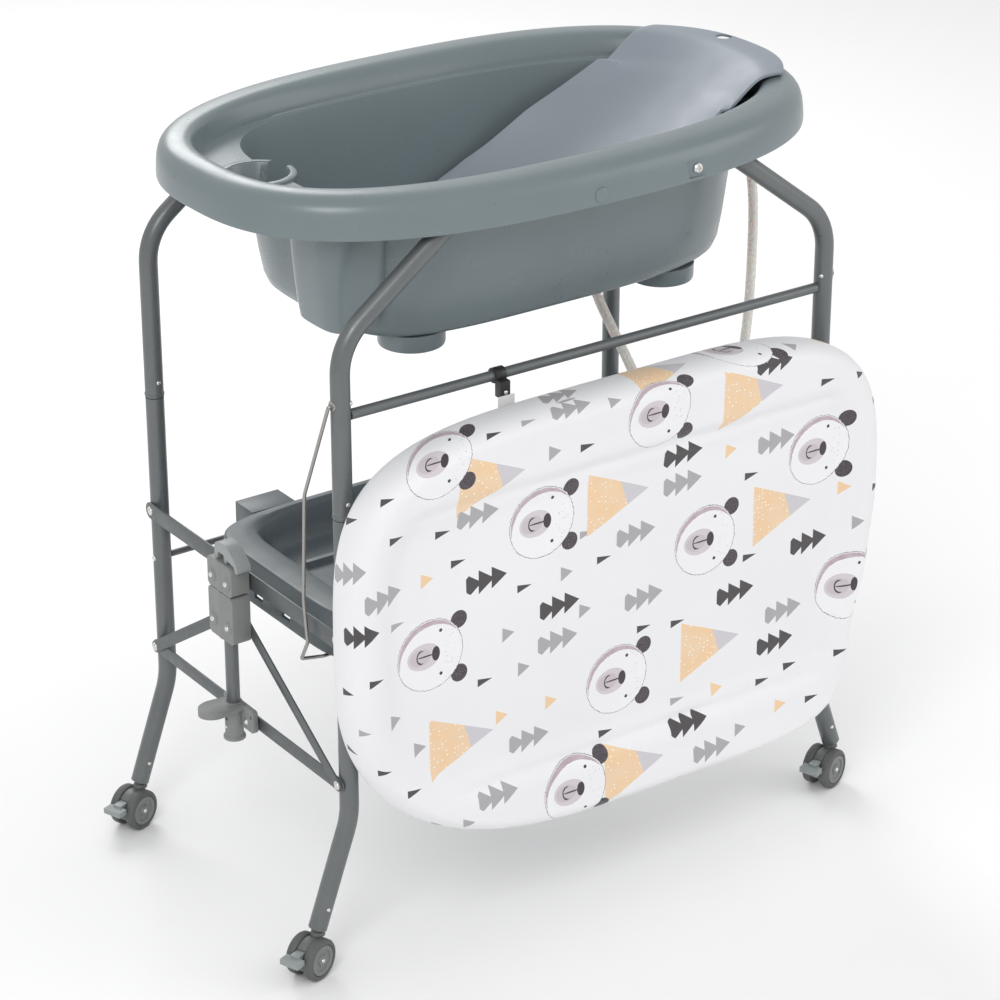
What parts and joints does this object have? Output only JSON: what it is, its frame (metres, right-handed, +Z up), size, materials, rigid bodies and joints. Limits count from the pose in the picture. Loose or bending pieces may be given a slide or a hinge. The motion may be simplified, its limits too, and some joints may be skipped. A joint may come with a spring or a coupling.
{
  "type": "changing table",
  "caption": "Folding baby changing table with a lift-off bath on a tube frame, a lower tray, casters, and a padded changing board hung from the front rail.",
  "frame": {"origin": "centre of the overall outline, on the floor, without the drain hose", "axes": "+Z up, +X along the length towards the bath's reclined end, -Y towards the hanging padded board"},
  "size_m": [0.8388, 0.5294, 0.9117],
  "materials": {
    "frame_paint": "satin grey powder coat",
    "link_paint": "satin grey",
    "wire": "grey coated wire",
    "bracket_plastic": "moulded, satin",
    "lever_plastic": "moulded, satin",
    "bath_plastic": "moulded, soft sheen",
    "support_plastic": "moulded, soft sheen",
    "plug_plastic": "soft rubber",
    "spout_plastic": "white",
    "hose_vinyl": "translucent vinyl",
    "zinc": "zinc plated",
    "tray_plastic": "moulded, satin",
    "board": "moulded panel",
    "pad_fabric": "printed, coated cloth",
    "webbing": "white webbing",
    "clip_plastic": "black",
    "caster_housing": "moulded, satin",
    "caster_tyre": "moulded, satin",
    "brake_plastic": "moulded, satin"
  },
  "bodies": {
    "rear_frame": {"rear_upper_hoop": "frame_paint", "rear_lower_leg_left": "frame_paint", "rear_lower_leg_right": "frame_paint", "rear_tray_rod": "frame_paint"},
    "upper_rear_links": {"upper_rear_link_left": "link_paint", "upper_rear_link_right": "link_paint"},
    "posts": {"post_left": "frame_paint", "post_right": "frame_paint", "upper_bracket_left": "bracket_plastic", "upper_bracket_right": "bracket_plastic", "foot_clamp_left": "bracket_plastic", "foot_clamp_right": "bracket_plastic"},
    "upper_front_links": {"upper_front_link_left": "link_paint", "upper_front_link_right": "link_paint"},
    "front_frame": {"front_upper_hoop": "frame_paint", "front_lower_leg_left": "frame_paint", "front_lower_leg_right": "frame_paint", "front_rail": "frame_paint"},
    "lower_rear_links": {"lower_rear_link_left": "link_paint", "lower_rear_link_right": "link_paint"},
    "lower_front_links": {"lower_front_link_left": "link_paint", "lower_front_link_right": "link_paint"},
    "rear_braces": {"brace_rear_left": "link_paint", "brace_rear_right": "link_paint"},
    "front_braces": {"brace_front_left": "link_paint", "brace_front_right": "link_paint"},
    "sliding_brackets": {"sliding_bracket_left": "bracket_plastic", "sliding_bracket_right": "bracket_plastic"},
    "lever_left": {"release_lever_left": "lever_plastic"},
    "lever_right": {"release_lever_right": "lever_plastic"},
    "hanger_left": {"tray_hanger_left": "wire"},
    "hanger_right": {"tray_hanger_right": "wire"},
    "bath": {"bathtub": "bath_plastic", "rim_screw": "zinc", "drain_spout": "spout_plastic", "drain_hose": "hose_vinyl", "hose_hook": "bath_plastic"},
    "support": {"bath_support": "support_plastic"},
    "plug": {"drain_plug": "plug_plastic"},
    "tray": {"storage_tray": "tray_plastic"},
    "board": {"board_base": "board", "changing_pad": "pad_fabric", "board_strap": "webbing", "board_clip": "clip_plastic"},
    "caster_front_left": {"caster_fork_front_left": "caster_housing"},
    "wheel_front_left": {"caster_wheel_front_left": "caster_tyre"},
    "brake_front_left": {"caster_brake_front_left": "brake_plastic"},
    "caster_front_right": {"caster_fork_front_right": "caster_housing"},
    "wheel_front_right": {"caster_wheel_front_right": "caster_tyre"},
    "brake_front_right": {"caster_brake_front_right": "brake_plastic"},
    "caster_rear_left": {"caster_fork_rear_left": "caster_housing"},
    "wheel_rear_left": {"caster_wheel_rear_left": "caster_tyre"},
    "brake_rear_left": {"caster_brake_rear_left": "brake_plastic"},
    "caster_rear_right": {"caster_fork_rear_right": "caster_housing"},
    "wheel_rear_right": {"caster_wheel_rear_right": "caster_tyre"},
    "brake_rear_right": {"caster_brake_rear_right": "brake_plastic"}
  },
  "joints": [
    {"name": "fold", "type": "hinge", "parent": "rear_frame", "child": "upper_rear_links", "pos_m": [0.0139, 0.2247, 0.411], "axis": [-1, 0, 0], "range_deg": [0, 65]},
    {"name": "posts_upright", "type": "hinge", "parent": "upper_rear_links", "child": "posts", "pos_m": [0.0139, 0.0367, 0.411], "axis": [-1, 0, 0], "range_deg": [-66, 0]},
    {"name": "front_link_turn", "type": "hinge", "parent": "posts", "child": "upper_front_links", "pos_m": [0.0139, 0.0047, 0.411], "axis": [-1, 0, 0], "range_deg": [-66, 0]},
    {"name": "front_frame_level", "type": "hinge", "parent": "upper_front_links", "child": "front_frame", "pos_m": [0.0139, -0.1833, 0.411], "axis": [-1, 0, 0], "range_deg": [0, 66]},
    {"name": "lower_rear_turn", "type": "hinge", "parent": "rear_frame", "child": "lower_rear_links", "pos_m": [0.0139, 0.2247, 0.2305], "axis": [-1, 0, 0], "range_deg": [0, 66]},
    {"name": "lower_front_turn", "type": "hinge", "parent": "front_frame", "child": "lower_front_links", "pos_m": [0.0139, -0.1833, 0.2305], "axis": [-1, 0, 0], "range_deg": [-66, 0]},
    {"name": "rear_brace_turn", "type": "hinge", "parent": "rear_frame", "child": "rear_braces", "pos_m": [0.0139, 0.2247, 0.2305], "axis": [-1, 0, 0], "range_deg": [0, 36.9]},
    {"name": "front_brace_turn", "type": "hinge", "parent": "front_frame", "child": "front_braces", "pos_m": [0.0139, -0.1833, 0.2305], "axis": [-1, 0, 0], "range_deg": [-36.9, 0]},
    {"name": "bracket_slide", "type": "slide", "parent": "posts", "child": "sliding_brackets", "axis": [0, 0, 1], "range_m": [-0.0849, 0]},
    {"name": "hanger_left_swing", "type": "hinge", "parent": "front_frame", "child": "hanger_left", "pos_m": [-0.3321, -0.1833, 0.69], "axis": [0, 1, 0], "range_deg": [0, 57]},
    {"name": "hanger_right_swing", "type": "hinge", "parent": "front_frame", "child": "hanger_right", "pos_m": [0.3599, -0.1833, 0.69], "axis": [0, -1, 0], "range_deg": [0, 57]},
    {"name": "tray_tip", "type": "hinge", "parent": "rear_frame", "child": "tray", "pos_m": [0.0139, 0.2247, 0.348], "axis": [-1, 0, 0], "range_deg": [0, 79]},
    {"name": "bath_lift", "type": "slide", "parent": "rear_frame", "child": "bath", "axis": [0, 0, 1], "range_m": [0, 0.57]},
    {"name": "support_lift", "type": "slide", "parent": "bath", "child": "support", "axis": [0, 0, 1], "range_m": [0, 0.25]},
    {"name": "plug_pull", "type": "slide", "parent": "bath", "child": "plug", "axis": [0, 0, 1], "range_m": [0, 0.03]},
    {"name": "board_swing", "type": "hinge", "parent": "front_frame", "child": "board", "pos_m": [0.0139, -0.1833, 0.675], "axis": [-1, 0, 0], "range_deg": [0, 85]},
    {"name": "release_left", "type": "hinge", "parent": "posts", "child": "lever_left", "pos_m": [-0.3471, 0.0307, 0.4405], "axis": [-1, 0, 0], "range_deg": [0, 35], "stiffness_Nm_per_rad": 0.05},
    {"name": "release_right", "type": "hinge", "parent": "posts", "child": "lever_right", "pos_m": [0.3749, 0.0307, 0.4405], "axis": [-1, 0, 0], "range_deg": [0, 35], "stiffness_Nm_per_rad": 0.05},
    {"name": "swivel_front_left", "type": "hinge", "parent": "front_frame", "child": "caster_front_left", "pos_m": [-0.3651, -0.1833, 0.06], "axis": [0, 0, 1], "continuous": true},
    {"name": "roll_front_left", "type": "hinge", "parent": "caster_front_left", "child": "wheel_front_left", "pos_m": [-0.37826, -0.18809, 0.025], "axis": [0.342, -0.9397, 0], "continuous": true},
    {"name": "brake_front_left", "type": "hinge", "parent": "caster_front_left", "child": "brake_front_left", "pos_m": [-0.39564, -0.19442, 0.0353], "axis": [0.342, -0.9397, 0], "range_deg": [0, 8]},
    {"name": "swivel_front_right", "type": "hinge", "parent": "front_frame", "child": "caster_front_right", "pos_m": [0.3929, -0.1833, 0.06], "axis": [0, 0, 1], "continuous": true},
    {"name": "roll_front_right", "type": "hinge", "parent": "caster_front_right", "child": "wheel_front_right", "pos_m": [0.37974, -0.18809, 0.025], "axis": [0.342, -0.9397, 0], "continuous": true},
    {"name": "brake_front_right", "type": "hinge", "parent": "caster_front_right", "child": "brake_front_right", "pos_m": [0.36236, -0.19442, 0.0353], "axis": [0.342, -0.9397, 0], "range_deg": [0, 8]},
    {"name": "swivel_rear_left", "type": "hinge", "parent": "rear_frame", "child": "caster_rear_left", "pos_m": [-0.3651, 0.2247, 0.06], "axis": [0, 0, 1], "continuous": true},
    {"name": "roll_rear_left", "type": "hinge", "parent": "caster_rear_left", "child": "wheel_rear_left", "pos_m": [-0.37826, 0.21991, 0.025], "axis": [0.342, -0.9397, 0], "continuous": true},
    {"name": "brake_rear_left", "type": "hinge", "parent": "caster_rear_left", "child": "brake_rear_left", "pos_m": [-0.39564, 0.21358, 0.0353], "axis": [0.342, -0.9397, 0], "range_deg": [0, 8]},
    {"name": "swivel_rear_right", "type": "hinge", "parent": "rear_frame", "child": "caster_rear_right", "pos_m": [0.3929, 0.2247, 0.06], "axis": [0, 0, 1], "continuous": true},
    {"name": "roll_rear_right", "type": "hinge", "parent": "caster_rear_right", "child": "wheel_rear_right", "pos_m": [0.37974, 0.21991, 0.025], "axis": [0.342, -0.9397, 0], "continuous": true},
    {"name": "brake_rear_right", "type": "hinge", "parent": "caster_rear_right", "child": "brake_rear_right", "pos_m": [0.36236, 0.21358, 0.0353], "axis": [0.342, -0.9397, 0], "range_deg": [0, 8]}
  ],
  "couplings": [
    {"joint": "posts_upright", "follows": "fold", "ratio": -1},
    {"joint": "front_link_turn", "follows": "fold", "ratio": -1},
    {"joint": "front_frame_level", "follows": "fold", "ratio": 1},
    {"joint": "lower_rear_turn", "follows": "fold", "ratio": 1},
    {"joint": "lower_front_turn", "follows": "fold", "ratio": -1},
    {"joint": "rear_brace_turn", "follows": "fold", "ratio": 0.5516},
    {"joint": "front_brace_turn", "follows": "fold", "ratio": -0.5516},
    {"joint": "bracket_slide", "follows": "fold", "m_per_rad": -0.07392},
    {"joint": "hanger_left_swing", "follows": "fold", "ratio": 0.85},
    {"joint": "hanger_right_swing", "follows": "fold", "ratio": 0.85},
    {"joint": "tray_tip", "follows": "fold", "ratio": 1.2},
    {"joint": "bath_lift", "follows": "fold", "m_per_rad": 0.5}
  ]
}
